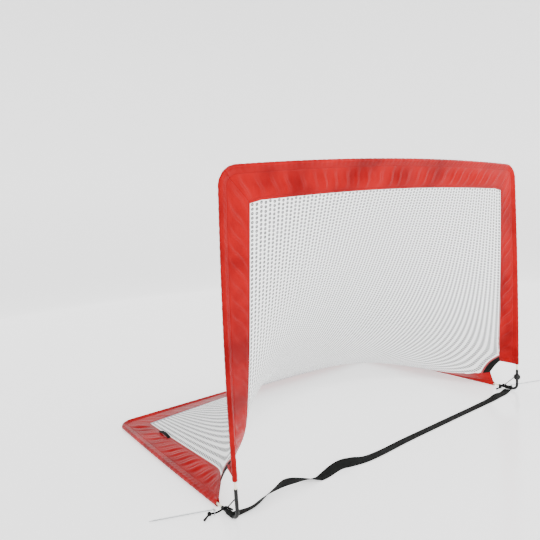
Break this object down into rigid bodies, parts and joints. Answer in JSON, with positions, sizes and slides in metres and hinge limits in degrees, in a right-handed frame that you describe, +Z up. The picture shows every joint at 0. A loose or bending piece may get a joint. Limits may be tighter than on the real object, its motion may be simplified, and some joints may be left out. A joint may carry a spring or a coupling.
{
  "type": "pop up goal",
  "caption": "Pop up lawn goal: two flexible rod hoops joined at the feet, fabric sleeves, one net stretched between them, a ground strap and pegs.",
  "frame": {"origin": "on the ground under the middle of the goal, without its strap, ropes and pegs", "axes": "+Z up, +Y from the open mouth to the rear bar, +X across the mouth"},
  "size_m": [1.5239, 0.7675, 0.8199],
  "materials": {
    "red_fabric": "satin polyester",
    "black_webbing": "woven, matt",
    "black_hose": "satin",
    "fibreglass": "satin",
    "white_net": "knitted mesh, matt",
    "steel": "zinc plated",
    "black_cord": "braided"
  },
  "bodies": {
    "base": {"rear_rod": "fibreglass", "rail_rod_left": "fibreglass", "rail_rod_right": "fibreglass", "corner_hose_rear_left": "black_hose", "corner_hose_rear_right": "black_hose", "rail_sleeve_left": "red_fabric", "rail_sleeve_right": "red_fabric", "rear_sleeve": "red_fabric", "elbow_hose_left": "black_hose", "elbow_hose_right": "black_hose", "net": "white_net", "corner_patch_left": "black_webbing", "corner_patch_right": "black_webbing", "patch_binding_left": "red_fabric", "patch_binding_right": "red_fabric", "ground_strap": "black_webbing", "strap_loop_left": "black_webbing", "strap_loop_right": "black_webbing", "brace_cord_left": "black_cord", "brace_cord_right": "black_cord", "peg_rope_left": "black_cord", "peg_rope_right": "black_cord", "rope_knot_left": "black_cord", "rope_knot_right": "black_cord", "rope_tail_left": "black_cord", "rope_tail_right": "black_cord", "peg_ring_left": "steel", "peg_ring_right": "steel", "storage_loop_left": "black_webbing", "storage_loop_right": "black_webbing"},
    "mouth": {"post_rod_left": "fibreglass", "post_rod_right": "fibreglass", "crossbar_rod": "fibreglass", "corner_hose_top_left": "black_hose", "corner_hose_top_right": "black_hose", "post_sleeve_left": "red_fabric", "post_sleeve_right": "red_fabric", "crossbar_sleeve": "red_fabric", "ball_stop_right": "black_hose"},
    "left_peg": {"peg_left": "steel"},
    "right_peg": {"peg_right": "steel"}
  },
  "joints": [
    {"name": "fold", "type": "hinge", "parent": "base", "child": "mouth", "pos_m": [0, -0.3565, 0.025], "axis": [-1, 0, 0], "range_deg": [0, 85], "stiffness_Nm_per_rad": 1.5, "springref_deg": -17.19, "deforming": ["net", "corner_patch_left", "corner_patch_right", "patch_binding_left", "patch_binding_right", "brace_cord_left", "brace_cord_right", "elbow_hose_left", "elbow_hose_right", "post_sleeve_left", "post_sleeve_right"]},
    {"name": "left_peg_swing", "type": "hinge", "parent": "base", "child": "left_peg", "pos_m": [-0.62293, -0.30595, 0.0085], "axis": [0, 0, -1], "range_deg": [0, 60]},
    {"name": "right_peg_swing", "type": "hinge", "parent": "base", "child": "right_peg", "pos_m": [0.62325, -0.3409, 0.0085], "axis": [0, 0, 1], "range_deg": [0, 90]}
  ]
}
